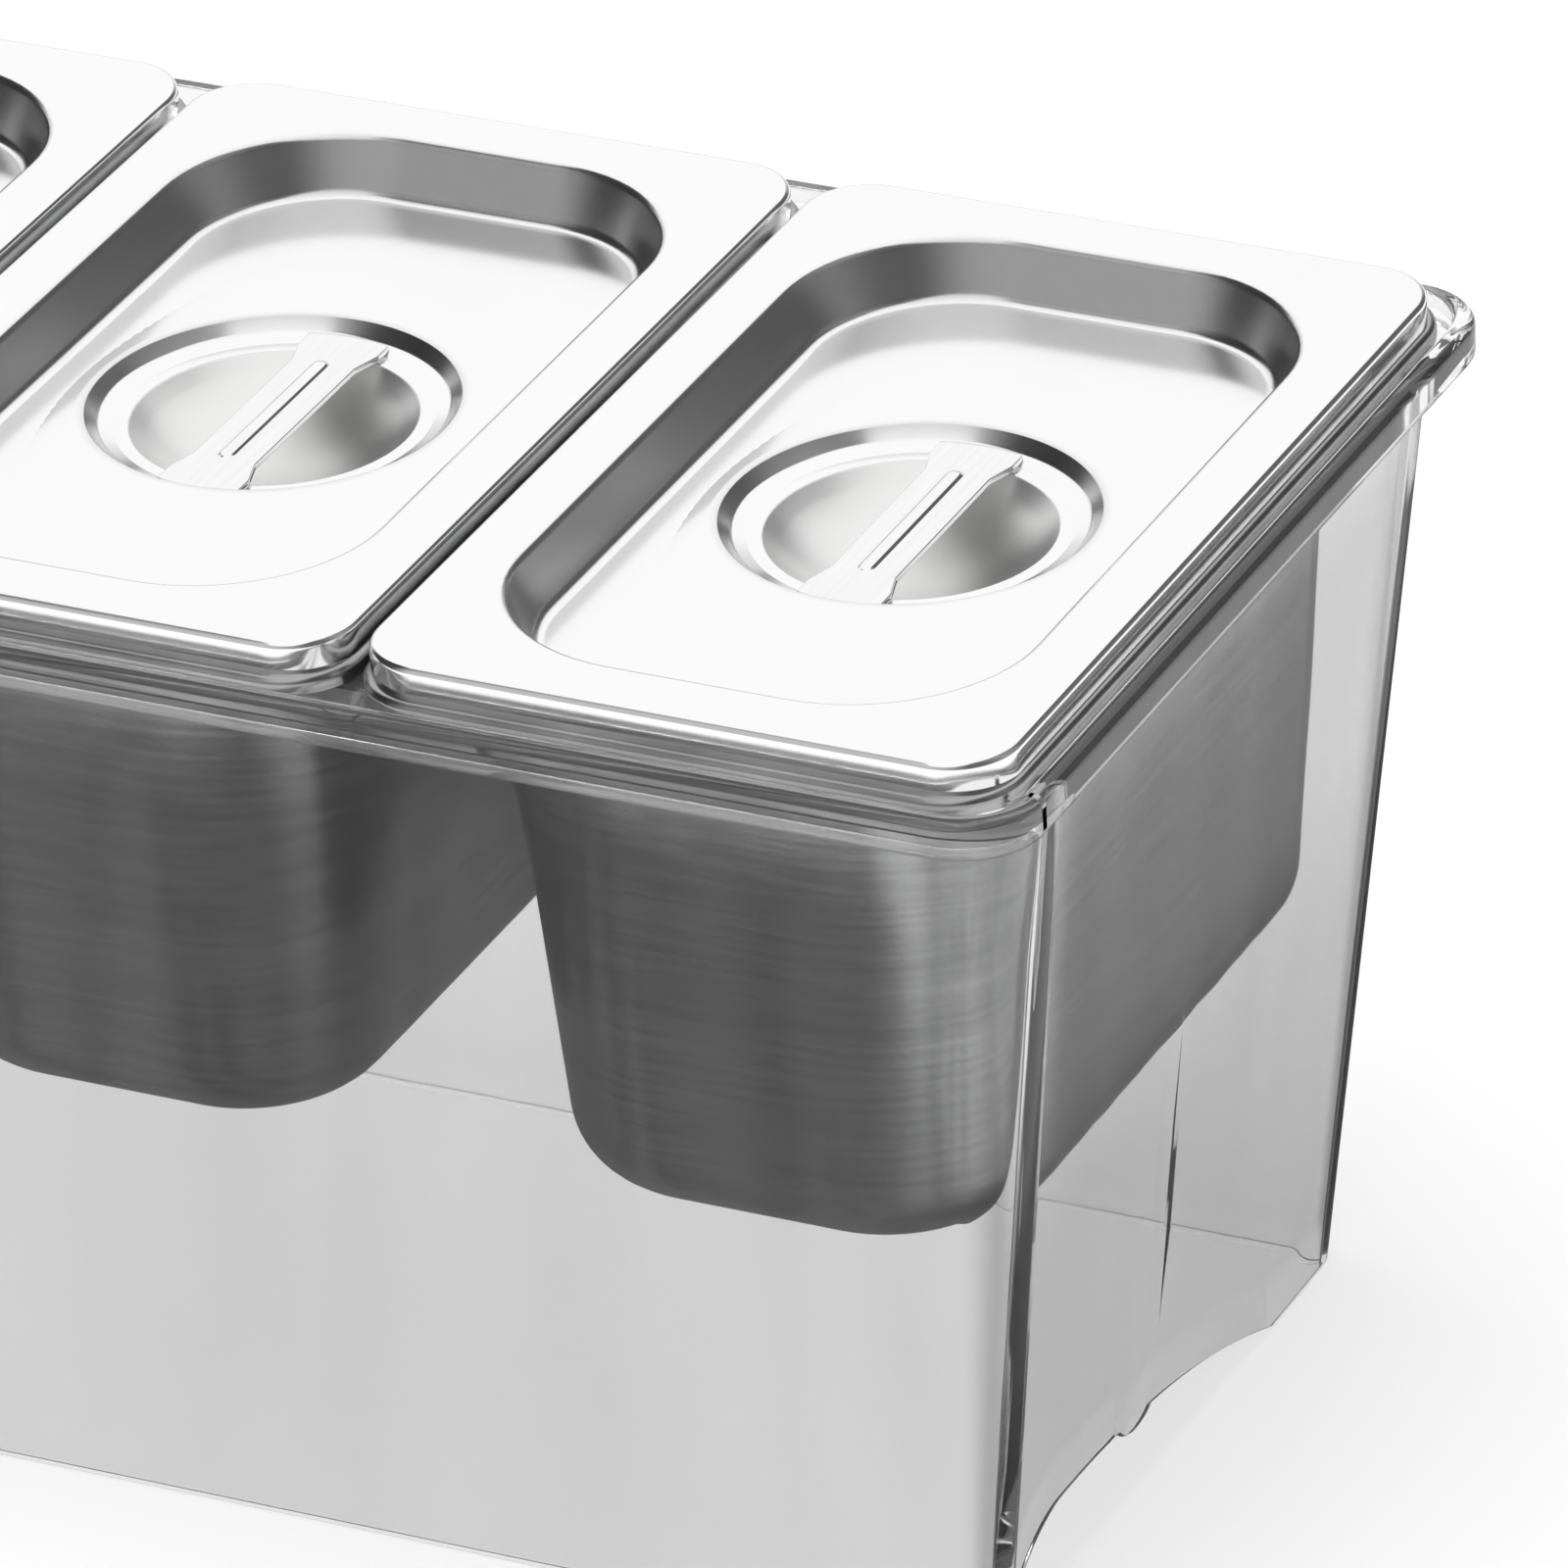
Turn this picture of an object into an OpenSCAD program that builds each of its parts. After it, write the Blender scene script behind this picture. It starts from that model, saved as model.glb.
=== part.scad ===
// Countertop condiment dispenser: a clear moulded stand that holds a row of steel pans,
// each with a steel lid and a strap handle set in a dished grip.
// Origin: middle of the footprint at the resting surface. +X runs along the row to the
// right, -Y is the front, +Z is up. All sizes are in millimetres.

/* [Row] */
// gap between the flanges of two pans
pan_gap = 1.2; // [0.5:0.1:15]

/* [Pan] */
// length of the pan over its flange, front to back
pan_l = 175; // [150:0.5:200]
// width of the pan over its flange, along the row
pan_w = 107.8; // [90:0.1:130]
// depth of the pan from the flange down to the underside of its bottom
pan_depth = 94; // [60:1:110]
// width of the flange at the front and back ends
flange_end_w = 13; // [10:0.1:18]
// width of the flange at the two long sides
flange_side_w = 9; // [7:0.1:14]
// how far each pan wall leans in from top to bottom
pan_lean = 8; // [4:0.5:12]
// radius between the pan walls and the pan bottom
pan_bottom_r = 17; // [12:0.5:19]
// corner radius of the pan body at its bottom
pan_foot_r = 23; // [20:0.5:26]
// thickness of the pan sheet
pan_sheet = 0.9; // [0.6:0.1:1.2]
// outside corner radius of the flange
flange_corner_r = 12; // [6:0.5:16]
// outside radius between the flange and its turned-down edge
flange_edge_r = 1.4; // [1.3:0.1:1.9]
// height of the turned-down edge of the flange
flange_drop = 3; // [2:0.1:5]

/* [Lid] */
// how far the lid stays inside the pan flange at the front and back
lid_inset_end = 2; // [1.5:0.1:5]
// how far the lid stays inside the pan flange at the two long sides
lid_inset_side = 1; // [0.5:0.1:3]
// height of the skirt round the lid
skirt_h = 5; // [4:0.1:8]
// radius of the edge between the lid top and its skirt
lid_edge_r = 1.2; // [1:0.1:1.6]
// thickness of the lid sheet
lid_sheet = 0.8; // [0.6:0.1:0.9]
// gap between the top of the sunk panel and the pan body at the front and back
recess_end_gap = 0.5; // [0.4:0.1:15]
// gap between the top of the sunk panel and the pan body at the two long sides
recess_side_gap = 2.4; // [0.4:0.1:8]
// depth of the sunk panel
recess_depth = 9.5; // [7:0.5:12]
// how far the wall of the sunk panel leans in
recess_lean = 4; // [2:0.5:6]
// corner radius of the sunk panel at the lid top
recess_corner_r = 28; // [20:1:34]
// radius of the upper edge of the sunk panel
recess_top_r = 1.8; // [1.2:0.1:2.4]
// radius at the foot of the wall of the sunk panel
recess_foot_r = 2.2; // [1.2:0.1:2.8]

/* [Grip] */
// width of the panel left beside the round step
ring_margin = 8.7; // [5:0.1:16]
// drop of the round step
ring_drop = 2; // [1.5:0.1:3]
// width of the flat ledge inside the step
ledge_w = 5; // [4:0.1:6]
// depth of the dished bowl below the ledge
bowl_depth = 8.5; // [6:0.5:12]
// width of the strap handle at its middle
strap_w = 11; // [8:0.5:16]
// width of the strap handle at its ends
strap_end_w = 14; // [12:0.5:20]
// length of each spread end of the strap handle
strap_end_l = 7; // [5:0.5:9]
// thickness of the strap handle
strap_t = 1.2; // [0.8:0.1:1.6]
// gap left between each end of the strap and the foot of the round step
strap_gap = 0.8; // [0.4:0.1:1.5]
// length of strap left plain beyond each end of the rib
rib_from_end = 9.7; // [8:0.1:15]
// width of the rib pressed into the strap
rib_w = 3; // [2:0.1:5]
// height of the rib above the strap
rib_h = 0.6; // [0.4:0.1:1]

/* [Stand] */
// height from the resting surface to the ledge that carries the pans
seat_z = 160; // [130:1:220]
// thickness of the clear walls
wall = 4; // [2:0.1:5]
// how far each end wall leans in from the ledge to the foot
end_lean = 19; // [8:0.5:24]
// how far the front and back walls lean in from the ledge to the foot
front_lean = 13; // [8:0.5:14]
// outside corner radius of the walls at the ledge
top_corner_r = 12; // [5:0.5:14]
// outside corner radius of the walls at the foot
foot_corner_r = 6; // [4.5:0.1:8]
// gap between the body of an end pan and the end wall at the ledge
end_gap = 7; // [3:0.1:9]
// gap between the body of a pan and the front or back wall at the ledge
front_gap = 0.7; // [0.5:0.1:5]
// thickness of the ledge
ledge_t = 3; // [2:0.1:5]
// play between the pan flanges and the lip round them
seat_gap = 1.2; // [0.3:0.05:1.5]
// thickness of the outer lip of the rim
lip_t = 3.6; // [2.4:0.1:4]
// height of the lip above the ledge
lip_up = 2.5; // [1:0.1:2.9]
// height of the lip below the ledge top
lip_down = 4.6; // [4:0.1:10]
// outside corner radius of the rim
rim_corner_r = 13; // [8:0.5:16]

/* [End arch] */
// height of the arch cut into the foot of each end wall
arch_h = 17.5; // [10:0.5:30]
// width of the front foot beside the arch
foot_front = 5; // [4.5:0.5:20]
// width of the back foot beside the arch
foot_back = 26; // [10:0.5:40]
// radius of the moulded nub on the edge of the arch
nub_r = 10; // [6:0.5:14]
// how far the nub hangs below the edge of the arch
nub_drop = 2.4; // [1:0.1:4]
// place of the middle of the nub, behind the front face of the foot
nub_from_front = 51; // [35:0.5:70]

/* [Hidden] */
$fn = 64;

// row of pans
pitch = pan_w + pan_gap;

// heights
flange_z = seat_z + flange_drop;
lid_z = flange_z + skirt_h;
panel_z = lid_z - recess_depth;
ledge_z = panel_z - ring_drop;

// body of the pan at its flange and at its bottom
pan_half_w = pan_w / 2 - flange_side_w;
pan_half_l = pan_l / 2 - flange_end_w;
pan_top_r = pan_foot_r + pan_lean;
pan_slope = sqrt(pan_lean * pan_lean + pan_depth * pan_depth);

// lid: outline from the pan flange, sunk panel from the pan body, round step from the panel
lid_w = pan_w - 2 * lid_inset_side;
lid_l = pan_l - 2 * lid_inset_end;
lid_corner_r = flange_corner_r - lid_inset_side;
recess_w = 2 * (pan_half_w - recess_side_gap);
recess_l = 2 * (pan_half_l - recess_end_gap);
recess_slope = sqrt(recess_lean * recess_lean + recess_depth * recess_depth);
recess_run = (recess_slope - recess_lean) / recess_depth;
recess_top_in_r = recess_corner_r + recess_top_r * recess_run;
recess_panel_r = recess_corner_r - recess_lean - recess_foot_r * recess_run;
ring_r = recess_w / 2 - recess_lean - ring_margin;
step_r = ring_r - ring_drop;
strap_end_r = step_r - strap_gap;
rib_l = 2 * (strap_end_r - rib_from_end);

// stand: half sizes of the walls at the ledge and at the foot
wall_half_x = pitch + pan_half_w + end_gap + wall;
wall_half_y = pan_half_l + front_gap + wall;
foot_half_x = wall_half_x - end_lean;
foot_half_y = wall_half_y - front_lean;
least_inner_r = 0.3;
lip_half_x = pitch + pan_w / 2 + seat_gap;
lip_half_y = pan_l / 2 + seat_gap;
rim_half_x = lip_half_x + lip_t;
rim_half_y = lip_half_y + lip_t;

// arch in an end wall, in the plane of front to back and up
arch_front_y = -foot_half_y + foot_front;
arch_peak_y = arch_front_y + arch_h;
arch_back_y = foot_half_y - foot_back;
arch_run = arch_back_y - arch_peak_y;
arch_r = (arch_run * arch_run + arch_h * arch_h) / (2 * arch_h);
nub_y = -foot_half_y + nub_from_front;
nub_edge_z = arch_h - arch_r + sqrt(arch_r * arch_r - (nub_y - arch_peak_y) * (nub_y - arch_peak_y));

// flat rectangle with round corners, given by its half sizes
module round_rect(half_x, half_y, r) {
    square([2 * (half_x - r), 2 * half_y], center = true);
    square([2 * half_x, 2 * (half_y - r)], center = true);
    for (sx = [-1, 1], sy = [-1, 1])
        translate([sx * (half_x - r), sy * (half_y - r)])
            circle(r);
}

// carries a wall section round a rectangle: the section's first axis starts at the
// centre of each corner, its second axis is up
module sweep_round(half_x, half_y) {
    for (a = [0, 180])
        rotate([0, 0, a]) {
            translate([half_x, half_y, 0])
                rotate_extrude(angle = 90)
                    children();
            translate([half_x, half_y, 0])
                rotate([90, 0, 0])
                    linear_extrude(2 * half_y)
                        children();
        }
    for (a = [90, 270])
        rotate([0, 0, a]) {
            translate([half_y, half_x, 0])
                rotate_extrude(angle = 90)
                    children();
            translate([half_y, half_x, 0])
                rotate([90, 0, 0])
                    linear_extrude(2 * half_x)
                        children();
        }
}

// filled outline under a flat top that turns down at a round edge
module edge_fill(far, r, top, foot, flat) {
    translate([far - r - flat, foot])
        square([flat + 0.5 * r, top - foot]);
    translate([far - r - flat, foot])
        square([flat + r, top - r - foot]);
    translate([far - r, top - r])
        circle(r);
}

// section of a sheet edge that turns down, with a stub of the flat it starts from
module turned_edge(r_corner, r_edge, t, drop) {
    flat = 1;
    difference() {
        intersection() {
            edge_fill(r_corner, r_edge, 0, -drop, flat);
            translate([r_corner - r_edge - flat, -drop])
                square([r_edge + flat, drop]);
        }
        edge_fill(r_corner - t, r_edge - t, -t, -drop - 1, flat + 1);
    }
}

// section of the pan: bottom, bend and leaning wall
module pan_section(grow) {
    r = pan_bottom_r - grow;
    c = [pan_foot_r + pan_lean / pan_depth * pan_bottom_r - pan_bottom_r * pan_slope / pan_depth,
         pan_bottom_r];
    n = [pan_depth, -pan_lean] / pan_slope;
    side = grow * pan_slope / pan_depth;
    polygon([
        [0, grow],
        [c[0], grow],
        c,
        c + r * n,
        [pan_top_r - side, pan_depth],
        [0, pan_depth]
    ]);
    intersection() {
        translate(c)
            circle(r);
        translate([c[0], 0])
            square([r, pan_depth]);
    }
}

// one pan, with its flange on the ledge of the stand
module pan() {
    half_x = pan_half_w - pan_top_r;
    half_y = pan_half_l - pan_top_r;
    inner_r = pan_top_r - pan_sheet * pan_slope / pan_depth;
    color([0.62, 0.62, 0.61]) {
        translate([0, 0, flange_z - pan_depth]) {
            sweep_round(half_x, half_y)
                difference() {
                    pan_section(0);
                    translate([0, 0.001])
                        pan_section(pan_sheet);
                }
            translate([-half_x, -half_y, 0])
                cube([2 * half_x, 2 * half_y, pan_sheet]);
        }
        translate([0, 0, flange_z - pan_sheet])
            linear_extrude(pan_sheet)
                difference() {
                    round_rect(pan_w / 2 - flange_edge_r, pan_l / 2 - flange_edge_r, flange_corner_r - flange_edge_r);
                    round_rect(half_x + inner_r, half_y + inner_r, inner_r);
                }
        translate([0, 0, flange_z])
            sweep_round(pan_w / 2 - flange_corner_r, pan_l / 2 - flange_corner_r)
                turned_edge(flange_corner_r, flange_edge_r, pan_sheet, flange_drop);
    }
}

// filled outline under the lid top, the wall of the sunk panel and the panel itself
module recess_fill(grow) {
    n = [-recess_depth, recess_lean] / recess_slope;
    c1 = [recess_top_in_r, -recess_top_r];
    c2 = [recess_panel_r, recess_foot_r - recess_depth];
    low = -recess_depth - 3;
    difference() {
        union() {
            polygon([
                [c1[0] + 2, -grow],
                [c1[0], -grow],
                c1,
                c1 + (recess_top_r - grow) * n,
                c2 - (recess_foot_r + grow) * n,
                c2,
                [c2[0], -recess_depth - grow],
                [c2[0] - 2, -recess_depth - grow],
                [c2[0] - 2, low],
                [c1[0] + 2, low]
            ]);
            translate(c1)
                circle(recess_top_r - grow);
        }
        translate(c2)
            circle(recess_foot_r + grow);
    }
}

// section of the wall of the sunk panel, with a stub of the flat sheet at each end
module recess_section() {
    stub = 1;
    intersection() {
        difference() {
            recess_fill(0);
            recess_fill(lid_sheet);
        }
        translate([recess_panel_r - stub, -recess_depth - lid_sheet])
            square([recess_top_in_r - recess_panel_r + 2 * stub, recess_depth + lid_sheet]);
    }
}

// section of the round step, the flat ledge and the dished bowl
module grip_section() {
    bowl_r = step_r - ledge_w;
    dish_r = (bowl_r * bowl_r + bowl_depth * bowl_depth) / (2 * bowl_depth);
    t = lid_sheet;
    k = t * (sqrt(2) - 1);
    polygon([
        [ring_r + 1, 0],
        [ring_r, 0],
        [step_r, -ring_drop],
        [bowl_r, -ring_drop],
        [bowl_r, -ring_drop - t],
        [step_r + k, -ring_drop - t],
        [ring_r + k, -t],
        [ring_r + 1, -t]
    ]);
    intersection() {
        translate([0, dish_r - bowl_depth - ring_drop])
            difference() {
                circle(dish_r + t, $fn = 180);
                circle(dish_r, $fn = 180);
            }
        translate([0, -bowl_depth - ring_drop - 2 * t])
            square([bowl_r + 0.3, bowl_depth + 2 * t]);
    }
}

// one lid: flat rim with its skirt, sunk panel and round grip
module lid() {
    half_x = recess_w / 2 - recess_corner_r;
    half_y = recess_l / 2 - recess_corner_r;
    color([0.86, 0.86, 0.86]) {
        translate([0, 0, lid_z - lid_sheet])
            linear_extrude(lid_sheet)
                difference() {
                    round_rect(lid_w / 2 - lid_edge_r, lid_l / 2 - lid_edge_r, lid_corner_r - lid_edge_r);
                    round_rect(half_x + recess_top_in_r, half_y + recess_top_in_r, recess_top_in_r);
                }
        translate([0, 0, lid_z]) {
            sweep_round(lid_w / 2 - lid_corner_r, lid_l / 2 - lid_corner_r)
                turned_edge(lid_corner_r, lid_edge_r, lid_sheet, skirt_h);
            sweep_round(half_x, half_y)
                recess_section();
        }
        translate([0, 0, panel_z - lid_sheet])
            linear_extrude(lid_sheet)
                difference() {
                    round_rect(half_x + recess_panel_r, half_y + recess_panel_r, recess_panel_r);
                    circle(ring_r + 0.5, $fn = 128);
                }
        translate([0, 0, panel_z])
            rotate_extrude($fn = 128)
                grip_section();
    }
}

// strap handle across the bowl, welded to the ledge at its two ends
module strap() {
    inner_y = strap_end_r - strap_end_l;
    rib_r = (rib_w * rib_w / 4 + rib_h * rib_h) / (2 * rib_h);
    color([0.84, 0.84, 0.84])
        translate([0, 0, ledge_z]) {
            linear_extrude(strap_t)
                intersection() {
                    circle(strap_end_r, $fn = 128);
                    union() {
                        square([strap_w, 2 * strap_end_r], center = true);
                        for (s = [-1, 1])
                            scale([1, s])
                                polygon([
                                    [-strap_w / 2, inner_y - 3],
                                    [strap_w / 2, inner_y - 3],
                                    [strap_end_w / 2, inner_y + 2],
                                    [strap_end_w / 2, strap_end_r],
                                    [-strap_end_w / 2, strap_end_r],
                                    [-strap_end_w / 2, inner_y + 2]
                                ]);
                    }
                }
            intersection() {
                translate([0, 0, strap_t + rib_h - rib_r])
                    union() {
                        rotate([90, 0, 0])
                            cylinder(h = rib_l - 2 * rib_w, r = rib_r, center = true);
                        for (s = [-1, 1])
                            translate([0, s * (rib_l / 2 - rib_w), 0])
                                sphere(rib_r);
                    }
                translate([0, 0, strap_t + 1])
                    cube([2 * rib_w, 2 * rib_l, 2.4], center = true);
            }
        }
}

// solid with leaning sides, set inwards by an even amount and cut flat at two levels
module leaning_block(from_z, to_z, inset) {
    spare = 4;
    plate = 1;
    intersection() {
        hull()
            for (z = [from_z - spare, to_z + spare]) {
                k = z / seat_z;
                r = foot_corner_r + k * (top_corner_r - foot_corner_r) - inset;
                translate([0, 0, z])
                    linear_extrude(plate)
                        round_rect(foot_half_x + k * end_lean - inset,
                                   foot_half_y + k * front_lean - inset,
                                   max(r, least_inner_r));
            }
        translate([-rim_half_x, -rim_half_y, from_z])
            cube([2 * rim_half_x, 2 * rim_half_y, to_z - from_z]);
    }
}

// section of the outer lip of the rim, with a rounded upper and lower edge
module lip_section() {
    r = lip_t / 2;
    translate([rim_corner_r - lip_t, seat_z - lip_down + r])
        square([lip_t, lip_down + lip_up - lip_t]);
    for (z = [seat_z - lip_down + r, seat_z + lip_up - r])
        translate([rim_corner_r - r, z])
            circle(r);
}

// opening cut from each end wall, drawn with front to back across and up
module arch_shape() {
    difference() {
        union() {
            translate([arch_peak_y, 0])
                circle(arch_h);
            intersection() {
                translate([arch_peak_y, arch_h - arch_r])
                    circle(arch_r, $fn = 256);
                translate([arch_peak_y, -1])
                    square([arch_run + 20, arch_h + 2]);
            }
        }
        translate([nub_y, nub_edge_z + nub_r - nub_drop])
            circle(nub_r);
    }
}

// the clear stand: leaning walls open below, ledge for the pans and rounded rim
module stand() {
    color([0.86, 0.9, 0.92, 0.35])
        difference() {
            union() {
                leaning_block(0, seat_z - ledge_t / 2, 0);
                translate([0, 0, seat_z - ledge_t])
                    linear_extrude(ledge_t)
                        round_rect(rim_half_x - lip_t / 2, rim_half_y - lip_t / 2,
                                   rim_corner_r - lip_t / 2);
                sweep_round(rim_half_x - rim_corner_r, rim_half_y - rim_corner_r)
                    lip_section();
            }
            leaning_block(-1, seat_z + 1, wall);
            translate([-rim_half_x - 1, 0, 0])
                rotate([90, 0, 90])
                    linear_extrude(2 * rim_half_x + 2)
                        arch_shape();
        }
}

// puts a piece in one compartment of the row
module place(k) {
    translate([k * pitch, 0, 0])
        children();
}

stand();
place(-1) pan();  // pan_left
place(0) pan();  // pan_middle
place(1) pan();  // pan_right
place(-1) lid();  // lid_left
place(0) lid();  // lid_middle
place(1) lid();  // lid_right
place(-1) strap();  // strap_left
place(0) strap();  // strap_middle
place(1) strap();  // strap_right
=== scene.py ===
"""Looks of a countertop condiment dispenser: clear moulded stand, steel pans, steel lids with strap handles.

Every piece is a surface worked out with numpy from the sizes below, which are the part's own sizes in
millimetres. X runs along the row of pans, -Y is the front, Z is up. The meshes are in metres.
"""

import bpy
import numpy as np
from mathutils import Matrix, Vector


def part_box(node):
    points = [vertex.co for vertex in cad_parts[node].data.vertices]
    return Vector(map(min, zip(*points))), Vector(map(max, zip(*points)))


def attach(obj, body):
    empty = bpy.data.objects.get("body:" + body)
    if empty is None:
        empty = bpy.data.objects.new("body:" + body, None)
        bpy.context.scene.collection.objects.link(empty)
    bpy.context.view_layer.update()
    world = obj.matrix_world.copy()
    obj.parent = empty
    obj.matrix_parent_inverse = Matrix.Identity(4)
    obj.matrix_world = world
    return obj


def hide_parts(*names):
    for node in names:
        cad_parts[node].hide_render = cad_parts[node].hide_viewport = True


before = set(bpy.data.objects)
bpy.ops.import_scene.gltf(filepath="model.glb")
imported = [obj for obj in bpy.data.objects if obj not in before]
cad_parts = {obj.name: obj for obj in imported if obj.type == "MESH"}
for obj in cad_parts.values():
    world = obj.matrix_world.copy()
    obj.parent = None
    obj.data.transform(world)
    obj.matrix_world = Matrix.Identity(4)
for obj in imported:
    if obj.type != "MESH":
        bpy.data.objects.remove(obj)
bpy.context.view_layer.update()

MM = 0.001
SIDES = ("left", "middle", "right")

# Pan. The level run of its flange goes from FLAT_OUT outside the body to FLAT_IN inside the edge.
PAN_L, PAN_W = 175.0, 107.8
PAN_DEPTH, PAN_SHEET, PAN_LEAN = 94.0, 0.9, 8.0
PAN_FOOT_R, PAN_CORE_R = 23.0, 0.5
PAN_BOTTOM_R, PAN_NECK_R, PAN_MOUTH_R = 17.0, 1.2, 1.0
FLANGE_END, FLANGE_SIDE = 13.0, 9.0
FLANGE_CORNER_R, FLANGE_EDGE_R = 12.0, 1.4
FLANGE_FOLD_R, FLANGE_TIP_R = 0.5, 0.2
FLAT_OUT, FLAT_IN = 2.0, 5.0
FLANGE_Z = 163.0
SEAT_Z = 160.0
BODY_X = PAN_W / 2 - FLANGE_SIDE
BODY_Y = PAN_L / 2 - FLANGE_END
BODY_R = PAN_FOOT_R + PAN_LEAN

# Lid. The bends of the grip are those of the step's top, the step's foot and the edge of the bowl.
LID_Z = 168.0
LID_X, LID_Y = 52.9, 85.5
LID_CORNER_R, LID_EDGE_R = 11.0, 1.2
LID_SHEET, SKIRT_H = 0.8, 5.0
PANEL_X, PANEL_Y, PANEL_R = 42.5, 74.0, 28.0
PANEL_DROP, PANEL_LEAN = 9.5, 4.0
PANEL_TOP_R, PANEL_FOOT_R = 1.8, 2.2
RING_R, RING_DROP = 29.8, 2.0
STEP_R = RING_R - RING_DROP
BOWL_R, BOWL_DROP = STEP_R - 5.0, 8.5
GRIP_BENDS, GRIP_BENDS_UNDER = (0.9, 0.9, 0.8), (0.3, 1.4, 0.3)
LEDGE_Z = LID_Z - PANEL_DROP - RING_DROP

# How dull a lid is on its step and in its brushed bowl, and how dark they are painted as shade, where its
# wall is 1 and its flats are 0, and the height over which the wall turns dull and shaded at its top and its
# foot
STEP_DULL_AND_SHADE, BOWL_DULL_AND_SHADE, DULL_AND_SHADE_FADE = 0.8, 1.5, 1.2

# Strap handle
STRAP_R = STEP_R - 0.8
STRAP_W, STRAP_END_W = 11.0, 14.0
STRAP_END_L, STRAP_T = 7.0, 1.2
STRAP_TAPER_FROM, STRAP_TAPER = 3.0, 5.0
STRAP_EDGE_R, STRAP_BOW_L = 0.35, 5.0
RIB_HALF_L, RIB_W, RIB_H, RIB_SLOPE = STRAP_R - 9.7, 3.0, 0.6, 0.7

# Stand
WALL = 4.0
END_LEAN, FRONT_LEAN = 19.0, 13.0
WALL_X, WALL_Y = 164.9, 79.2
TOP_R, FOOT_R, FOOT_EDGE_R = 12.0, 6.0, 0.5
RIM_X, RIM_Y, RIM_R = 167.7, 92.3, 13.0
LEDGE_T, LEDGE_R = 3.0, 0.6
LIP_T, LIP_UP, LIP_DOWN = 3.6, 2.5, 4.6
LIP_BENDS = (0.5, 1.7, 1.7, 1.7, 1.7, 0.6)
FOOT_X, FOOT_Y = WALL_X - END_LEAN, WALL_Y - FRONT_LEAN
ARCH_H, ARCH_FRONT, ARCH_BACK = 17.5, 5.0, 26.0
NUB_R, NUB_DROP, NUB_FROM_FRONT = 10.0, 2.4, 51.0

# Camera, found from the edges of the lids, the rim and the foot in the photograph
CAMERA_AZIMUTH, CAMERA_ELEVATION, CAMERA_ROLL = 0.46909, 0.50139, -0.05721
CAMERA_DISTANCE, CAMERA_RIGHT, CAMERA_UP = 2169.9, 18.77, 48.90
CAMERA_AIM = (109.0, 0.0, LID_Z)
FOCAL_PIXELS, IMAGE_PIXELS, SENSOR = 14593.3, 1600, 36.0

# Studio, in metres and shares of plain white
FLOOR_HALF, FLOOR_TONE, FLOOR_GLOW = 6.0, 0.95, 0.66
WORLD_LIGHT = 0.5
LAMP_SIZE, LAMP_POWER, LAMP_PLACE = 1.6, 38, (-0.3, -0.2, 1.6)
SURROUND_R, SURROUND_H, SURROUND_SIDES = 1.5, 3.0, 72
CARD_X, CARD_Y, CARD_Z = (-0.46, 0.26), (-0.35, 0.39), 0.0004

# Tones of the surround's cards, and how high the light opens above them, by turn: 0 is the left, a quarter
# the front, a half the right and three quarters the back
SURROUND_TONES = (
    (0.0, 0.03), (0.10, 0.06), (0.18, 0.55), (0.28, 0.45), (0.38, 0.12), (0.45, 0.14), (0.54, 0.30),
    (0.60, 0.24), (0.65, 0.10), (0.71, 0.14), (0.78, 0.75), (0.92, 0.75), (0.96, 0.05),
)
SURROUND_OPENS = (
    (0.0, 0.66), (0.16, 0.66), (0.23, 0.36), (0.32, 0.36), (0.44, 0.66), (0.60, 0.60), (0.68, 0.34),
    (0.79, 0.18), (0.92, 0.18), (0.98, 0.66),
)
OPENING_FADE = 0.08


def outline(side_x, side_y, turn):
    """Samples of a rectangle with round corners, anticlockwise from the middle of its right side.

    A sample is four numbers: the two shares of the straight halves it stands at, and the direction in which
    the corner radius carries it outwards. Its place is share * (half size - radius) + direction * radius.
    """
    a = np.linspace(0, np.pi / 2, turn, endpoint=False)
    half = np.linspace(0, 1, side_y, endpoint=False)
    across = np.linspace(1, -1, 2 * side_x, endpoint=False)
    down = np.linspace(1, -1, 2 * side_y, endpoint=False)
    runs = (
        (np.ones(side_y), half, 0 * half + 1, 0 * half),
        (np.ones(turn), np.ones(turn), np.cos(a), np.sin(a)),
        (across, np.ones(2 * side_x), 0 * across, 0 * across + 1),
        (-np.ones(turn), np.ones(turn), -np.sin(a), np.cos(a)),
        (-np.ones(2 * side_y), down, 0 * down - 1, 0 * down),
        (-np.ones(turn), -np.ones(turn), -np.cos(a), -np.sin(a)),
        (-across, -np.ones(2 * side_x), 0 * across, 0 * across - 1),
        (np.ones(turn), -np.ones(turn), np.sin(a), -np.cos(a)),
        (np.ones(side_y), half - 1, 0 * half + 1, 0 * half),
    )
    return tuple(np.concatenate(column) for column in zip(*runs))


def loop_rows(samples, half_x, half_y, radius, z):
    """One row of points for each level: the round rectangle of that half size and corner radius at that z."""
    share_x, share_y, way_x, way_y = samples
    levels = [np.atleast_1d(np.float64(v)) for v in (half_x, half_y, radius, z)]
    half_x, half_y, radius, z = (v[:, None] for v in np.broadcast_arrays(*levels))
    x = share_x * (half_x - radius) + way_x * radius
    y = share_y * (half_y - radius) + way_y * radius
    return np.stack([x, y, np.broadcast_to(z, x.shape)], axis=2)


def circle_rows(angles, radius, z):
    """One row of points for each radius and height, at the given angles round the middle."""
    r, z = (np.asarray(v, float)[:, None] for v in (radius, z))
    x = r * np.cos(angles)
    return np.stack([x, r * np.sin(angles), np.broadcast_to(z, x.shape)], axis=2)


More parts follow.
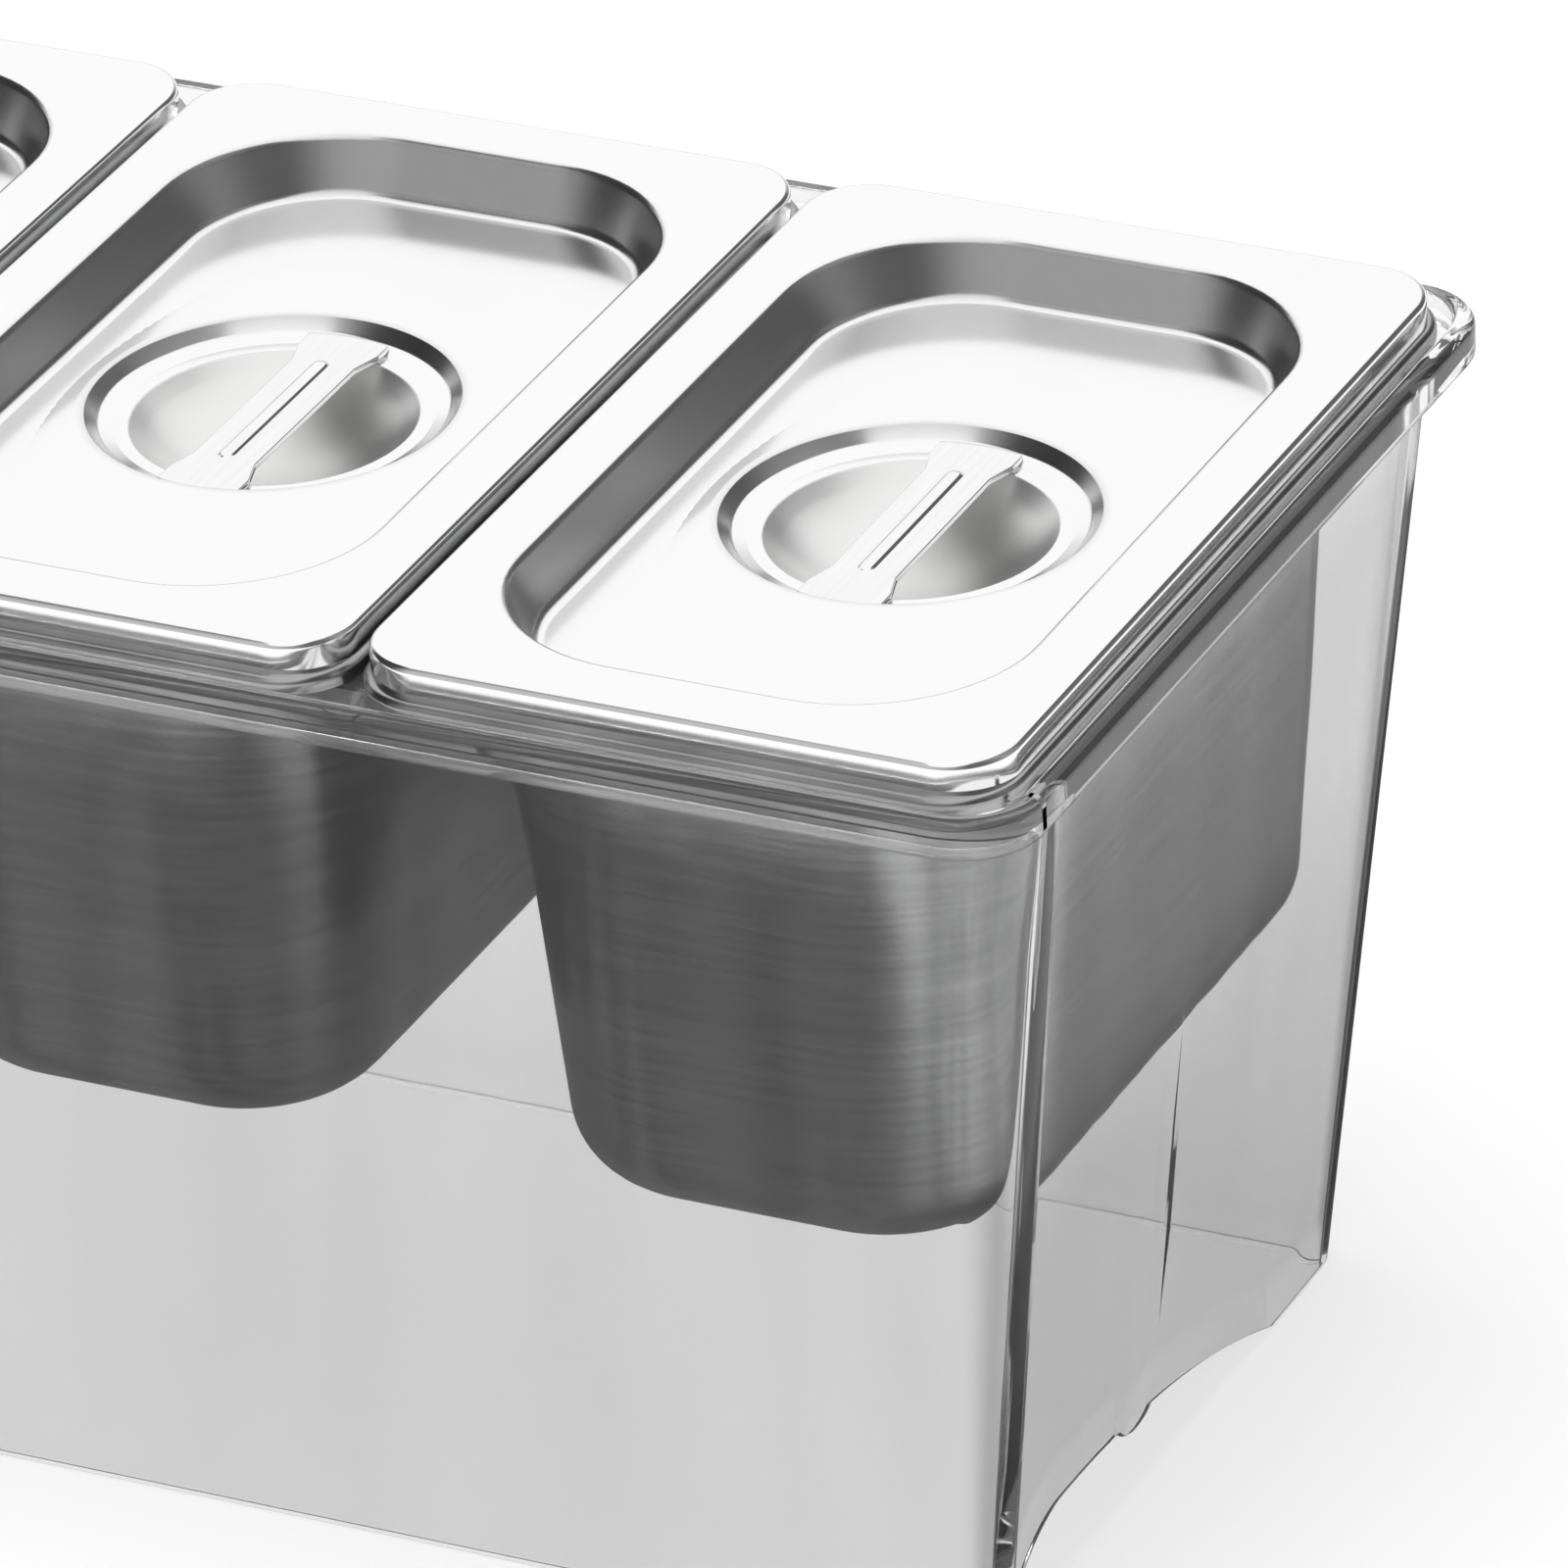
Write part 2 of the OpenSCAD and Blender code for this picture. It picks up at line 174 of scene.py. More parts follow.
def soften(points, radii, steps=7, guard=0.25):
    """Path through corner points, each turned into an arc of its radius that is tangent to both of its legs.

    With half the angle between the legs, an arc begins at radius / tan(half) from its corner and turns about
    a point at radius / sin(half) on the bisector. It takes less than half of either leg. A guard point stands
    a little beyond each end of an arc, so that the shading of the bend ends there.
    """
    arc_share, guard_share = 0.48, 0.9
    p = np.asarray(points, float)
    path = [p[0]]
    for i in range(1, len(p) - 1):
        back, ahead = p[i - 1] - p[i], p[i + 1] - p[i]
        len_back, len_ahead = np.linalg.norm(back), np.linalg.norm(ahead)
        back, ahead = back / len_back, ahead / len_ahead
        half = np.arccos(np.clip(back @ ahead, -1, 1)) / 2
        reach = min(radii[i - 1] / np.tan(half), arc_share * len_back, arc_share * len_ahead)
        r = reach * np.tan(half)
        middle = p[i] + (back + ahead) / np.linalg.norm(back + ahead) * r / np.sin(half)
        a, b = p[i] + back * reach - middle, p[i] + ahead * reach - middle
        turn = np.pi - 2 * half
        s = np.linspace(0, 1, steps + 1)[:, None]
        arc = middle + (a * np.sin((1 - s) * turn) + b * np.sin(s * turn)) / np.sin(turn)
        before = p[i] + back * min(reach + guard, guard_share * len_back)
        after = p[i] + ahead * min(reach + guard, guard_share * len_ahead)
        path += [before, *arc, after]
    path.append(p[-1])
    return np.array(path)


def beside(points, gap):
    """Corner points of the line that runs at an even gap to the right of the given one, along its way.

    At a corner the shift is gap * (r1 + r2) / (1 + r1 . r2), with r1 and r2 the right-hand directions of the
    two legs.
    """
    p = np.asarray(points, float)
    way = np.diff(p, axis=0)
    way /= np.linalg.norm(way, axis=1)[:, None]
    right = np.stack([way[:, 1], -way[:, 0]], axis=1)
    before, after = np.vstack([right[:1], right]), np.vstack([right, right[-1:]])
    mitre = (before + after) / (1 + np.sum(before * after, axis=1))[:, None]
    return p + gap * mitre


def mesh_piece(name, points, faces, material, sharp):
    """Object at the origin with the given points, in millimetres, and faces, smooth up to the sharp angle."""
    mesh = bpy.data.meshes.new(name)
    mesh.from_pydata((np.asarray(points) * MM).tolist(), [], faces)
    mesh.polygons.foreach_set("use_smooth", np.ones(len(mesh.polygons), bool))
    mesh.set_sharp_from_angle(angle=np.radians(sharp))
    mesh.materials.append(material)
    mesh.update()
    piece = bpy.data.objects.new(name, mesh)
    bpy.context.scene.collection.objects.link(piece)
    return piece


def keep_values(piece, name, values):
    """Keeps one number for each point of the piece, as an attribute that its material reads."""
    piece.data.attributes.new(name, "FLOAT", "POINT").data.foreach_set("value", values)


def grid_piece(name, rows, material, closed_rows=False, poles=(), sharp=35.0, drawn=None):
    """Piece whose faces join neighbouring rows of points; each row is a closed loop.

    With closed_rows the last row joins the first one. poles says which ends, first or last, are shut by a
    single point at the middle of that row. drawn says, for each row, how dull the press and the brush
    left it and how dark it is painted as shade, and is kept with the points.
    """
    count, width = rows.shape[:2]
    i = np.arange(count if closed_rows else count - 1)[:, None]
    j = np.arange(width)[None, :]
    up, along = (i + 1) % count, (j + 1) % width
    corners = [i * width + j, i * width + along, up * width + along, up * width + j]
    faces = np.stack(corners, axis=2).reshape(-1, 4).tolist()
    points = rows.reshape(-1, 3)
    for end in poles:
        row = 0 if end == "first" else count - 1
        ring = row * width + np.arange(width)
        ahead = row * width + (np.arange(width) + 1) % width
        tip = np.full(width, len(points))
        points = np.vstack([points, rows[row].mean(axis=0)])
        fan = (ahead, ring, tip) if end == "first" else (ring, ahead, tip)
        faces += np.stack(fan, axis=1).tolist()
    piece = mesh_piece(name, points, faces, material, sharp)
    if drawn is not None:
        ends = [drawn[0] if end == "first" else drawn[-1] for end in poles]
        keep_values(piece, "drawn", np.concatenate([np.repeat(drawn, width), ends]))
    return piece


class Value:
    """A shader socket that takes part in Python arithmetic: each operator adds one Math node."""

    def __init__(self, graph, socket):
        self.graph = graph
        self.socket = socket

    def math(self, operation, *others):
        """Math node of this value and the others."""
        inputs = dict(enumerate((self, *others)))
        return self.graph.node("ShaderNodeMath", {"operation": operation}, inputs)

    def __add__(self, other):
        return self.math("ADD", other)

    def __sub__(self, other):
        return self.math("SUBTRACT", other)

    def __rsub__(self, other):
        return self.graph.node("ShaderNodeMath", {"operation": "SUBTRACT"}, {0: other, 1: self})

    def __mul__(self, other):
        return self.math("MULTIPLY", other)

    def __truediv__(self, other):
        return self.math("DIVIDE", other)

    __radd__ = __add__
    __rmul__ = __mul__


class Graph:
    """Node tree of one material or world."""

    def __init__(self, owner):
        owner.use_nodes = True
        self.owner = owner
        self.tree = owner.node_tree
        self.tree.nodes.clear()

    def node(self, kind, settings=None, sockets=None, output=0):
        """Adds a node, sets its settings, then the values or links of its sockets, and gives one output."""
        made = self.tree.nodes.new(kind)
        for key, value in (settings or {}).items():
            setattr(made, key, value)
        for key, value in (sockets or {}).items():
            socket = self.pick(made.inputs, key)
            if isinstance(value, Value):
                self.tree.links.new(value.socket, socket)
            else:
                socket.default_value = value
        return Value(self, self.pick(made.outputs, output))

    @staticmethod
    def pick(sockets, key):
        """The socket of that number, or the enabled one of that name: a Mix node has several of one name."""
        if isinstance(key, int):
            return sockets[key]
        return next(one for one in sockets if one.name == key and one.enabled)

    def ramp(self, value, stops):
        """Colour ramp whose stops are pairs of a place and a grey or a colour."""
        made = self.node("ShaderNodeValToRGB", None, {"Fac": value})
        elements = made.socket.node.color_ramp.elements
        while len(elements) < len(stops):
            elements.new(0.5)
        for element, (place, tone) in zip(elements, stops):
            element.position = place
            element.color = (*((tone,) * 3 if isinstance(tone, float) else tone), 1)
        return made

    def close(self, surface):
        """Links the finished shader to the output, and gives the material or world."""
        world = isinstance(self.owner, bpy.types.World)
        output = self.tree.nodes.new("ShaderNodeOutputWorld" if world else "ShaderNodeOutputMaterial")
        self.tree.links.new(surface.socket, output.inputs["Surface"])
        return self.owner


def stretched_noise(graph, scale, detail, stretch=(1, 1, 1)):
    """Noise on Object coordinates, scale waves a metre, drawn out along the axes whose stretch is small."""
    place = graph.node("ShaderNodeTexCoord", None, None, "Object")
    drawn_out = graph.node("ShaderNodeMapping", None, {"Vector": place, "Scale": stretch})
    return graph.node("ShaderNodeTexNoise", None, {"Vector": drawn_out, "Scale": scale, "Detail": detail})


def object_place(graph):
    """The three object coordinates as Values."""
    place = graph.node("ShaderNodeTexCoord", None, None, "Object")
    return [graph.node("ShaderNodeSeparateXYZ", None, {"Vector": place}, axis) for axis in "XYZ"]


def kept_values(graph, name):
    """The numbers that keep_values stored under that name."""
    return graph.node("ShaderNodeAttribute", {"attribute_name": name}, None, "Fac")


def light_path(graph, name):
    """One fact about the ray that meets the surface."""
    return graph.node("ShaderNodeLightPath", None, None, name)


def bumps(graph, height, strength, distance):
    """Normals of a surface that rises with height, by distance in metres."""
    sockets = {"Strength": strength, "Distance": distance, "Height": height}
    return graph.node("ShaderNodeBump", None, sockets)


def smooth_step(graph, value, start, end):
    """0 before start and 1 after end, with a soft rise between them; either bound may be a Value."""
    sockets = {"Value": value, "From Min": start, "From Max": end}
    return graph.node("ShaderNodeMapRange", {"interpolation_type": "SMOOTHSTEP"}, sockets)


def blend(graph, factor, first, second):
    """Colour that goes from first to second with the factor."""
    sockets = {"Factor": factor, "A": first, "B": second}
    return graph.node("ShaderNodeMix", {"data_type": "RGBA"}, sockets, "Result")


def glow(graph, colour):
    """Plain light of that colour, at a strength of 1."""
    return graph.node("ShaderNodeEmission", None, {"Color": colour, "Strength": 1.0})


def finish_material(graph, sockets):
    """Material of one Principled shader with those sockets."""
    return graph.close(graph.node("ShaderNodeBsdfPrincipled", None, sockets))


def pan_steel():
    """Brushed steel: fine grain that runs level round the walls, over faint upright streaks painted into the
    colour as reflections.
    """
    graph = Graph(bpy.data.materials.new("pan_steel"))
    grain = stretched_noise(graph, 900.0, 4.0, (0.05, 0.05, 1))
    bands = stretched_noise(graph, 120.0, 3.0, (0.04, 0.04, 1))
    upright = stretched_noise(graph, 60.0, 2.0, (1, 1, 0.04))
    dark, pale = (0.32, 0.322, 0.325), (0.52, 0.522, 0.525)
    return finish_material(graph, {
        # Painted reflection: the upright noise paints faint soft upright streaks into the colour
        "Base Color": graph.ramp(grain * 0.35 + bands * 0.25 + upright * 0.4, ((0.36, dark), (0.64, pale))),
        "Metallic": 1.0,
        "Roughness": grain * 0.12 + 0.18,
        "Normal": bumps(graph, grain, strength=0.12, distance=0.0002),
    })


def lid_steel():
    """Steel polished on its flats, satin where the press drew it down and dullest in the brushed bowl; the
    recess wall and the step are painted darker as shade, and the bowl a little darker.
    """
    graph = Graph(bpy.data.materials.new("lid_steel"))
    drawn = kept_values(graph, "drawn")
    marks = stretched_noise(graph, 500.0, 3.0, (1, 0.04, 1))
    slow = stretched_noise(graph, 30.0, 2.0)
    polished, flat, satin_and_shade, brushed_and_shade = 0.96, 0.94, 0.58, (0.88, 0.88, 0.875)
    stops = ((0.06, polished), (0.12, flat), (0.52, satin_and_shade), (0.78, brushed_and_shade))
    return finish_material(graph, {
        # Painted shade: the recess wall and the step are painted darker than the flats, and the bowl a little
        # darker
        "Base Color": graph.ramp(drawn * 0.5 + slow * 0.08 + marks * 0.04, stops),
        "Metallic": 1.0,
        "Roughness": drawn * 0.12 + slow * 0.04 + 0.12,
        "Normal": bumps(graph, marks, strength=0.03, distance=0.0001),
    })


def strap_steel():
    """Polished steel of the strap handle, with faint marks along its length."""
    graph = Graph(bpy.data.materials.new("strap_steel"))
    marks = stretched_noise(graph, 900.0, 3.0, (1, 0.05, 1))
    return finish_material(graph, {
        "Base Color": graph.ramp(marks, ((0.3, 0.90), (0.7, (0.95, 0.95, 0.945)))),
        "Metallic": 1.0,
        "Roughness": marks * 0.06 + 0.09,
    })


def clear_plastic():
    """Clear moulded plastic: a trace of haze, the slow waves of a moulded wall, and upright corners painted
    greyer as shade.
    """
    graph = Graph(bpy.data.materials.new("clear_plastic"))
    waves = stretched_noise(graph, 34.0, 2.0, (1, 1, 0.35))
    corner_shade = kept_values(graph, "corner_shade")
    clear, hazy, corner = 0.92, 0.88, 0.55
    return finish_material(graph, {
        # Painted shade: the upright corners are painted greyer than the flat walls
        "Base Color": graph.ramp(waves * 0.2 + corner_shade * 0.7, ((0.06, clear), (0.14, hazy), (0.8, corner))),
        "Roughness": waves * 0.03 + 0.01,
        "IOR": 1.49,
        "Transmission Weight": 0.975,
        "Normal": bumps(graph, waves, strength=0.12, distance=0.0006),
    })


def pan_piece(side, material):
    """Pressed pan: a closed sheet whose inside and outside are round rectangles from bottom to flange."""
    samples = outline(side_x=10, side_y=14, turn=14)
    t, bottom, core = PAN_SHEET, FLANGE_Z - PAN_DEPTH, BODY_R - PAN_CORE_R

    def body(corners, radii):
        """Rows of the pan body: a corner's first number says how far it stands inside the top outline."""
        inset, z = soften(corners, radii, steps=10).T
        return loop_rows(samples, BODY_X - inset, BODY_Y - inset, BODY_R - inset, z)

    def edge(corners, radii):
        """Rows of the flange: a corner's first number says how far it stands inside the flange outline."""
        inset, z = soften(corners, radii).T
        return loop_rows(samples, PAN_W / 2 - inset, PAN_L / 2 - inset, FLANGE_CORNER_R - inset, z)

    outside = body([(core, bottom), (PAN_LEAN, bottom), (0, FLANGE_Z - t), (-FLAT_OUT, FLANGE_Z - t)],
                   [PAN_BOTTOM_R, PAN_NECK_R])
    flange = edge([(FLAT_IN, FLANGE_Z - t), (t, FLANGE_Z - t), (t, SEAT_Z), (0, SEAT_Z), (0, FLANGE_Z),
                   (FLAT_IN, FLANGE_Z)],
                  [FLANGE_FOLD_R, FLANGE_TIP_R, FLANGE_TIP_R, FLANGE_EDGE_R])
    inside = body([(-FLAT_OUT, FLANGE_Z), (t, FLANGE_Z), (PAN_LEAN + t, bottom + t), (core, bottom + t)],
                  [PAN_MOUTH_R, PAN_BOTTOM_R - t])
    rows = np.concatenate([outside, flange, inside]) + (place_of(f"pan_{side}"), 0, 0)
    return grid_piece(f"pan_{side}_pressed", rows, material, poles=("first", "last"))


def lid_piece(side, material):
    """Pressed lid: skirt, flat rim, sunk panel, round step, ledge and dished bowl, as one closed sheet.

    Rows go from the skirt to the foot of the panel's wall as round rectangles. From there inwards they are
    circles, whose points stand at the angles of the last round rectangle.
    """
    samples = outline(side_x=10, side_y=14, turn=16)
    t, panel_z, ledge_z = LID_SHEET, -PANEL_DROP, -PANEL_DROP - RING_DROP
    foot = loop_rows(samples, PANEL_X - PANEL_LEAN, PANEL_Y - PANEL_LEAN, PANEL_R - PANEL_LEAN, 0)[0]
    angles = np.arctan2(foot[:, 1], foot[:, 0])
    rim_in, rim_out, panel_in, panel_out = 6, 3, 3.5, 1.2  # how far the flats go beyond the bends
    skirt = [(0, -SKIRT_H), (0, 0), (rim_in, 0)]
    wall = [(-rim_out, 0), (0, 0), (PANEL_LEAN, panel_z), (PANEL_LEAN + panel_in, panel_z)]
    step = [(RING_R + panel_out, panel_z), (RING_R, panel_z), (STEP_R, ledge_z), (BOWL_R, ledge_z)]

    def spans(path, half_x, half_y, radius):
        """Rows of round rectangles: the path's first number says how far each stands inside the given one."""
        inset, z = path.T
        return loop_rows(samples, half_x - inset, half_y - inset, radius - inset, z)

    def dish(gap):
        """Bowl as an arc from the ledge to the middle, moved down by gap.

        Its radius is (r * r + d * d) / (2 * d) for a bowl of radius r and depth d.
        """
        arc_r = (BOWL_R ** 2 + BOWL_DROP ** 2) / (2 * BOWL_DROP)
        last_lean, levels = 0.03, 26
        lean = np.linspace(np.arcsin(BOWL_R / arc_r), last_lean, levels)
        top = ledge_z - BOWL_DROP + arc_r
        return np.stack([(arc_r + gap) * np.sin(lean), top - (arc_r + gap) * np.cos(lean)], axis=1)

    def sheet(gap, bends):
        """One face of the sheet, from skirt to middle, moved down by gap, and how dull and how dark with
        painted shade each row is.
        """
        edge_path = soften(beside(skirt, gap), bends[:1])
        wall_path = soften(beside(wall, gap), bends[1:3])
        bowl = dish(gap)
        bowl_from = 3  # the level up to which the bend of the bowl's edge may reach
        corners = np.vstack([beside(step, gap)[:-1], bowl[0], bowl[bowl_from]])
        step_path = soften(corners, bends[3:], steps=4, guard=0.15)
        inner = np.concatenate([step_path[:-1], bowl[bowl_from:]])
        rows = np.concatenate([
            spans(edge_path, LID_X, LID_Y, LID_CORNER_R),
            spans(wall_path, PANEL_X, PANEL_Y, PANEL_R),
            circle_rows(angles, inner[:, 0], inner[:, 1]),
        ])
        fall = wall_path[:, 1] + gap
        # How dull the panel's wall is and how dark it is painted as shade, fading in at its top and its foot
        in_wall = np.clip(-fall / DULL_AND_SHADE_FADE, 0, 1) * np.clip((fall - panel_z) / DULL_AND_SHADE_FADE, 0, 1)
        in_step = STEP_DULL_AND_SHADE * np.exp(-(inner[:, 0] - STEP_R - 1) ** 2)
        in_grip = np.maximum(in_step, BOWL_DULL_AND_SHADE * (inner[:, 0] < BOWL_R))
        return rows, np.concatenate([0 * edge_path[:, 0], in_wall, in_grip])

    top, top_drawn = sheet(0.0, (LID_EDGE_R, PANEL_TOP_R, PANEL_FOOT_R, *GRIP_BENDS))
    under, under_drawn = sheet(t, (LID_EDGE_R - t, PANEL_TOP_R - t, PANEL_FOOT_R + t, *GRIP_BENDS_UNDER))
    rows = np.concatenate([under[::-1], top]) + (place_of(f"lid_{side}"), 0, LID_Z)
    drawn = np.concatenate([under_drawn[::-1], top_drawn])
    return grid_piece(f"lid_{side}_pressed", rows, material, poles=("first", "last"), drawn=drawn)


def strap_piece(side, material):
    """Strap handle: a flat section with round edges carried from end to end, wider at its ends.

    The upper face rises over a stadium-shaped rib: its height is the rib height times the smooth step
    s * s * (3 - 2 * s) of the distance inside the rib outline. Both ends follow the circle of the grip, and
    thin out in a quarter round.
    """
    r = STRAP_EDGE_R
    near = np.array([0.0, 0.12, 0.35, 0.7, 1.2, 2.0, 3.0])
    even = STRAP_R - 4.0
    along = np.concatenate([near - STRAP_R, np.linspace(-even, even, 93), STRAP_R - near[::-1]])
    far = STRAP_R - np.abs(along)
    spread = np.clip((STRAP_END_L + STRAP_TAPER_FROM - far) / STRAP_TAPER, 0, 1)
    half_w = ((STRAP_W + (STRAP_END_W - STRAP_W) * spread) / 2)[:, None]

    face = np.linspace(1, -1, 57) * (half_w - r)
    rib_w, rib_l = RIB_W / 2, RIB_HALF_L - RIB_W / 2
    beyond = np.clip(np.abs(along) - rib_l, 0, None)[:, None]
    inside = np.clip((rib_w - np.hypot(face, beyond)) / RIB_SLOPE, 0, 1)
    rib = RIB_H * inside ** 2 * (3 - 2 * inside)

    bend = np.linspace(0, np.pi / 2, 6)
    edge_x = r * np.cos(bend) - r
    upper_z, lower_z = r * np.sin(bend) + STRAP_T - r, r - r * np.sin(bend)
    right, left = half_w + edge_x, -(half_w + edge_x)
    x = np.hstack([right, face[:, 1:-1], left[:, ::-1], left, right[:, ::-1]])
    one = np.ones_like(half_w)
    z = np.hstack([one * upper_z, STRAP_T + rib[:, 1:-1], one * upper_z[::-1], one * lower_z,
                   one * lower_z[::-1]])

    bow = (STRAP_R - np.sqrt(STRAP_R ** 2 - x ** 2)) * np.clip(1 - far / STRAP_BOW_L, 0, 1)[:, None]
    y = np.sign(along)[:, None] * (np.abs(along)[:, None] - bow)
    thin = np.sqrt(np.clip(1 - (1 - np.clip(far / r, 0, 1)) ** 2, 0, 1))[:, None]
    z = STRAP_T / 2 + (z - STRAP_T / 2) * (1 - 2 * r / STRAP_T * (1 - thin))
    x = x * (1 - (1 - thin) * r / half_w)
    rows = np.stack([x + place_of(f"strap_{side}"), y, z + LEDGE_Z], axis=2)
    return grid_piece(f"strap_{side}_pressed", rows, material, poles=("first", "last"), sharp=40.0)


def arch_edge():
    """Edge of the arch in an end wall, front to back: places, heights and the way into the wall from there.

    The front of the arch is a quarter circle, the rest one long arc of radius (run * run + h * h) / (2 * h)
    down to the back foot, and a round nub hangs from it.
    """
    peak = -FOOT_Y + ARCH_FRONT + ARCH_H
    back = FOOT_Y - ARCH_BACK
    long_r = ((back - peak) ** 2 + ARCH_H ** 2) / (2 * ARCH_H)
    nub_y = -FOOT_Y + NUB_FROM_FRONT

    def arc_z(y):
        """Height of the long arc."""
        return ARCH_H - long_r + np.sqrt(long_r ** 2 - (y - peak) ** 2)

    def arc_way(y):
        """Direction away from the middle of the long arc."""
        return np.stack([y - peak, long_r * np.sqrt(1 - ((y - peak) / long_r) ** 2)], axis=1) / long_r

    nub_z = arc_z(nub_y) + NUB_R - NUB_DROP
    search = NUB_R * 0.95
    fine = np.linspace(nub_y - search, nub_y + search, 4001)
    hangs = fine[nub_z - np.sqrt(NUB_R ** 2 - (fine - nub_y) ** 2) < arc_z(fine)]
    turn = np.linspace(0, np.pi / 2, 18)
    y_front, z_front = peak - ARCH_H * np.cos(turn), ARCH_H * np.sin(turn)
    y_before = np.linspace(peak, hangs[0], 8)[1:]
    y_nub = np.linspace(hangs[0], hangs[-1], 13)
    z_nub = nub_z - np.sqrt(NUB_R ** 2 - (y_nub - nub_y) ** 2)
    y_after = np.linspace(hangs[-1], back, 26)
    way_front = np.stack([-np.cos(turn), np.sin(turn)], axis=1)
    way_nub = np.stack([nub_y - y_nub, nub_z - z_nub], axis=1) / NUB_R
    y = np.concatenate([y_front, y_before, y_nub, y_after])
    z = np.concatenate([z_front, arc_z(y_before), z_nub, arc_z(y_after)])
    way = np.concatenate([way_front, arc_way(y_before), way_nub, arc_way(y_after)])
    return y, np.maximum(z, 0), way


def stand_outline():
    """Samples round the stand, as outline gives them, with three more numbers each.

    They are the height of the foot edge there, and the way into the wall from that edge along Y and Z.
    """
    y, z, way = arch_edge()
    straight = FOOT_Y - FOOT_R
    lean = ((WALL_Y - TOP_R) - straight) / SEAT_Z
    before = np.linspace(-1, y[0] / straight, 3, endpoint=False)
    after = np.linspace(y[-1] / straight, 1, 6)[1:-1]
    share = np.concatenate([before, y / (straight + lean * z), after])
    high = np.concatenate([0 * before, z, 0 * after])
    up = np.array([(0.0, 1.0)])
    into_y, into_z = np.concatenate([np.repeat(up, len(before), 0), way, np.repeat(up, len(after), 0)]).T
    turn = 14
    a = np.linspace(0, np.pi / 2, turn, endpoint=False)
    across = np.linspace(1, -1, 40, endpoint=False)
    one, ones = np.ones(turn), np.ones(len(share))
    flat, level = np.zeros(turn), np.zeros(len(across))
    runs = (
        (ones, share, ones, 0 * ones, high, into_y, into_z),
        (one, one, np.cos(a), np.sin(a), flat, flat, one),
        (across, level + 1, level, level + 1, level, level, level + 1),
        (-one, one, -np.sin(a), np.cos(a), flat, flat, one),
        (-ones, share[::-1], -ones, 0 * ones, high[::-1], into_y[::-1], into_z[::-1]),
        (-one, -one, -np.cos(a), -np.sin(a), flat, flat, one),
        (-across, level - 1, level, level - 1, level, level, level + 1),
        (one, -one, np.sin(a), -np.cos(a), flat, flat, one),
    )
    return [np.concatenate(column) for column in zip(*runs)]


def stand_piece(material):
    """Clear stand: one closed section of wall, ledge and lip, carried round the row.

    Wall points lie on planes that lean in towards the foot. Their lowest row follows the foot edge, which
    rises into the arch on both end walls, and the section is closed over the ledge and the rounded lip.
    The upright corners of the wall are painted greyer as shade, by 4 * (direction x * direction y) squared:
    1 in the middle of a corner and 0 on the flats.
    """
    share_x, share_y, way_x, way_y, foot_z, into_y, into_z = stand_outline()
    samples = (share_x, share_y, way_x, way_y)

    def wall_row(z, inset, shift=0.0):
        """Points on the wall at heights z, moved inwards by inset and along Y by shift."""
        k = z / SEAT_Z
        r = FOOT_R + k * (TOP_R - FOOT_R)
        x = share_x * (FOOT_X + k * END_LEAN - r) + way_x * (r - inset)
        y = share_y * (FOOT_Y + k * FRONT_LEAN - r) + way_y * (r - inset)
        return np.stack([x, y + shift, z + 0 * x], axis=1)

    s = np.linspace(0, np.pi / 2, 4)
    bend = list(zip(FOOT_EDGE_R * (1 - np.sin(s)), FOOT_EDGE_R * (1 - np.cos(s))))
    foot_out = [wall_row(foot_z + rise * into_z, step, rise * into_y) for rise, step in bend[::-1]]
    foot_in = [wall_row(foot_z + rise * into_z, WALL - step, rise * into_y) for rise, step in bend]

    under, top = SEAT_Z - LEDGE_T, SEAT_Z
    above_foot, below_ledge = 1.2, 1.5
    levels = [foot_z + above_foot + k * (under - below_ledge - foot_z - above_foot)
              for k in np.linspace(0.06, 1, 7)]
    outer = [wall_row(z, 0.0) for z in levels] + [wall_row(under, -LEDGE_R)]
    inner = [wall_row(z, WALL) for z in levels]
    inner += [wall_row(top - LEDGE_R, WALL), wall_row(top, WALL - LEDGE_R)]

    low, high = SEAT_Z - LIP_DOWN, SEAT_Z + LIP_UP
    section = [(LIP_T + 0.6, under), (LIP_T, under), (LIP_T, low), (0, low), (0, high), (LIP_T, high),
               (LIP_T, top), (LIP_T + 0.8, top)]
    inset, z = soften(section, LIP_BENDS, steps=8).T
    lip = list(loop_rows(samples, RIM_X - inset, RIM_Y - inset, RIM_R - inset, z))

    rows = np.array(foot_out + outer + lip + inner[::-1] + foot_in)
    ledge = slice(len(foot_out) + len(outer) - 1, len(foot_out) + len(outer) + len(lip))
    on_end = np.abs(way_x) > 0.999
    rows[ledge] = meet_end_walls(rows[ledge], on_end)
    piece = grid_piece("stand_moulding", rows, material, closed_rows=True, sharp=40.0)
    in_wall = np.ones(len(rows))
    in_wall[ledge] = 0
    # Painted shade at the upright corners of the wall, none on the ledge and the lip
    keep_values(piece, "corner_shade", (in_wall[:, None] * 4 * (way_x * way_y) ** 2).ravel())
    return piece


